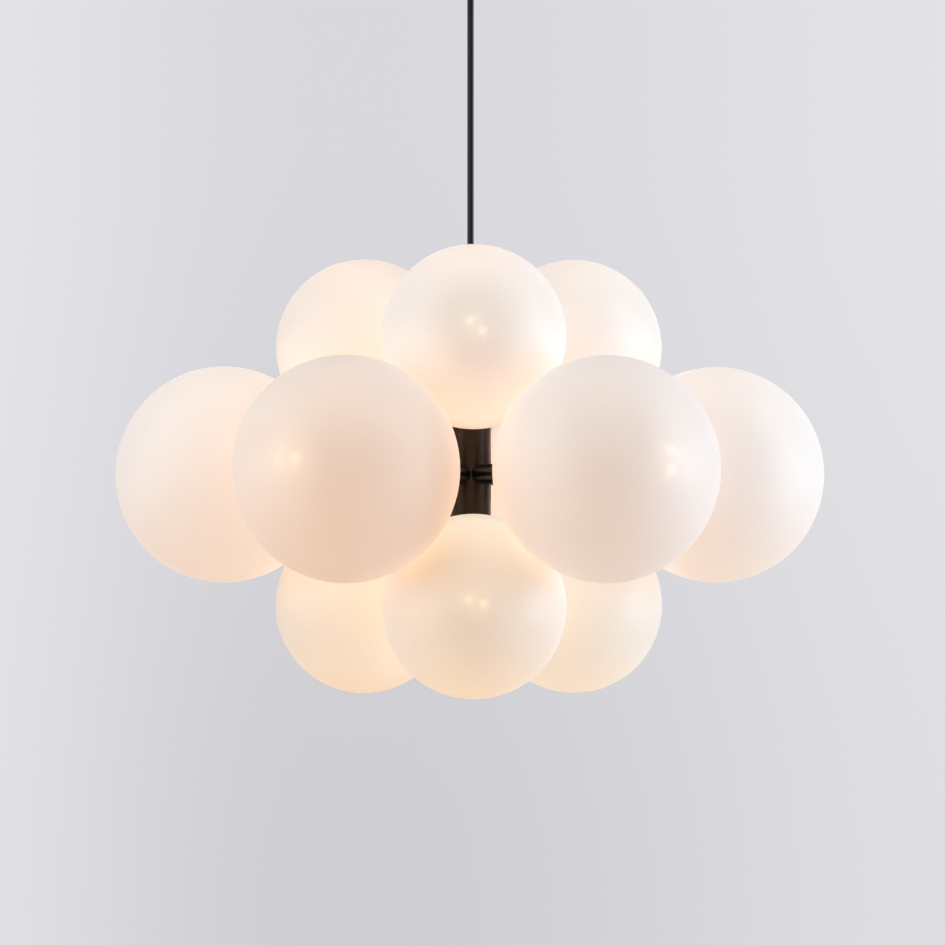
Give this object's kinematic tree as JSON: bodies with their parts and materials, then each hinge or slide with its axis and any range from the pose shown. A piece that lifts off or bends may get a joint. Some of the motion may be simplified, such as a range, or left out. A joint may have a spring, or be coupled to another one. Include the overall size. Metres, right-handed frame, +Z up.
{
  "type": "pendant light",
  "caption": "Cluster pendant light: round opal glass globes in tiers, screwed to short arms on a dark bronze hub column that hangs from a ceiling canopy by a black cable.",
  "frame": {"origin": "centre of the ceiling plate's top face, where the lamp meets the ceiling", "axes": "+Z up into the ceiling; -Y is the front, the side with one upper globe, one lower globe and a pair of middle globes facing the viewer"},
  "size_m": [0.656, 0.5932, 0.6969],
  "materials": {
    "opal_glass": "satin opal, lit from inside",
    "bulb_glass": "frosted, lit",
    "dark_bronze": "satin dark bronze",
    "hub_steel": "machined, unpainted",
    "plate_steel": "zinc plated",
    "ceramic": "unglazed white",
    "cable_sheath": "smooth black sheath",
    "bush_rubber": "matt",
    "block_plastic": "moulded"
  },
  "bodies": {
    "ceiling_mount": {"ceiling_plate": "plate_steel", "canopy": "dark_bronze", "canopy_screw_left": "dark_bronze", "canopy_screw_right": "dark_bronze", "canopy_bush": "bush_rubber", "terminal_block": "block_plastic"},
    "cable": {"cord": "cable_sheath"},
    "fixture": {"cord_grip": "dark_bronze", "top_hub": "dark_bronze", "column": "dark_bronze", "middle_hub": "hub_steel", "bottom_hub": "dark_bronze", "arm_upper_1": "dark_bronze", "arm_upper_2": "dark_bronze", "arm_upper_3": "dark_bronze", "arm_middle_1": "dark_bronze", "arm_middle_2": "dark_bronze", "arm_middle_3": "dark_bronze", "arm_middle_4": "dark_bronze", "arm_middle_5": "dark_bronze", "arm_middle_6": "dark_bronze", "arm_lower_1": "dark_bronze", "arm_lower_2": "dark_bronze", "arm_lower_3": "dark_bronze", "lampholder_upper_1": "ceramic", "lampholder_upper_2": "ceramic", "lampholder_upper_3": "ceramic", "lampholder_middle_1": "ceramic", "lampholder_middle_2": "ceramic", "lampholder_middle_3": "ceramic", "lampholder_middle_4": "ceramic", "lampholder_middle_5": "ceramic", "lampholder_middle_6": "ceramic", "lampholder_lower_1": "ceramic", "lampholder_lower_2": "ceramic", "lampholder_lower_3": "ceramic", "bulb_upper_1": "bulb_glass", "bulb_upper_2": "bulb_glass", "bulb_upper_3": "bulb_glass", "bulb_middle_1": "bulb_glass", "bulb_middle_2": "bulb_glass", "bulb_middle_3": "bulb_glass", "bulb_middle_4": "bulb_glass", "bulb_middle_5": "bulb_glass", "bulb_middle_6": "bulb_glass", "bulb_lower_1": "bulb_glass", "bulb_lower_2": "bulb_glass", "bulb_lower_3": "bulb_glass"},
    "globe_upper_1": {"globe_upper_1": "opal_glass"},
    "globe_upper_2": {"globe_upper_2": "opal_glass"},
    "globe_upper_3": {"globe_upper_3": "opal_glass"},
    "globe_middle_1": {"globe_middle_1": "opal_glass"},
    "globe_middle_2": {"globe_middle_2": "opal_glass"},
    "globe_middle_3": {"globe_middle_3": "opal_glass"},
    "globe_middle_4": {"globe_middle_4": "opal_glass"},
    "globe_middle_5": {"globe_middle_5": "opal_glass"},
    "globe_middle_6": {"globe_middle_6": "opal_glass"},
    "globe_lower_1": {"globe_lower_1": "opal_glass"},
    "globe_lower_2": {"globe_lower_2": "opal_glass"},
    "globe_lower_3": {"globe_lower_3": "opal_glass"}
  },
  "joints": [
    {"name": "cable_sway", "type": "hinge", "parent": "ceiling_mount", "child": "cable", "pos_m": [0, 0, -0.036], "axis": [0, 1, 0], "range_deg": [-12, 12]},
    {"name": "fixture_turn", "type": "hinge", "parent": "cable", "child": "fixture", "pos_m": [0, 0, -0.332], "axis": [0, 0, 1], "range_deg": [-180, 180], "stiffness_Nm_per_rad": 0.01},
    {"name": "unscrew_upper_1", "type": "hinge", "parent": "fixture", "child": "globe_upper_1", "pos_m": [0, 0, -0.3719], "axis": [0, -1, 0], "range_deg": [0, 720]},
    {"name": "unscrew_upper_2", "type": "hinge", "parent": "fixture", "child": "globe_upper_2", "pos_m": [0, 0, -0.3719], "axis": [0.866, 0.5, 0], "range_deg": [0, 720]},
    {"name": "unscrew_upper_3", "type": "hinge", "parent": "fixture", "child": "globe_upper_3", "pos_m": [0, 0, -0.3719], "axis": [-0.866, 0.5, 0], "range_deg": [0, 720]},
    {"name": "unscrew_middle_1", "type": "hinge", "parent": "fixture", "child": "globe_middle_1", "pos_m": [0, 0, -0.49288], "axis": [0.5, -0.866, 0], "range_deg": [0, 720]},
    {"name": "unscrew_middle_2", "type": "hinge", "parent": "fixture", "child": "globe_middle_2", "pos_m": [0, 0, -0.49288], "axis": [1, 0, 0], "range_deg": [0, 720]},
    {"name": "unscrew_middle_3", "type": "hinge", "parent": "fixture", "child": "globe_middle_3", "pos_m": [0, 0, -0.49288], "axis": [0.5, 0.866, 0], "range_deg": [0, 720]},
    {"name": "unscrew_middle_4", "type": "hinge", "parent": "fixture", "child": "globe_middle_4", "pos_m": [0, 0, -0.49288], "axis": [-0.5, 0.866, 0], "range_deg": [0, 720]},
    {"name": "unscrew_middle_5", "type": "hinge", "parent": "fixture", "child": "globe_middle_5", "pos_m": [0, 0, -0.49288], "axis": [-1, 0, 0], "range_deg": [0, 720]},
    {"name": "unscrew_middle_6", "type": "hinge", "parent": "fixture", "child": "globe_middle_6", "pos_m": [0, 0, -0.49288], "axis": [-0.5, -0.866, 0], "range_deg": [0, 720]},
    {"name": "unscrew_lower_1", "type": "hinge", "parent": "fixture", "child": "globe_lower_1", "pos_m": [0, 0, -0.61386], "axis": [0, -1, 0], "range_deg": [0, 720]},
    {"name": "unscrew_lower_2", "type": "hinge", "parent": "fixture", "child": "globe_lower_2", "pos_m": [0, 0, -0.61386], "axis": [0.866, 0.5, 0], "range_deg": [0, 720]},
    {"name": "unscrew_lower_3", "type": "hinge", "parent": "fixture", "child": "globe_lower_3", "pos_m": [0, 0, -0.61386], "axis": [-0.866, 0.5, 0], "range_deg": [0, 720]}
  ]
}
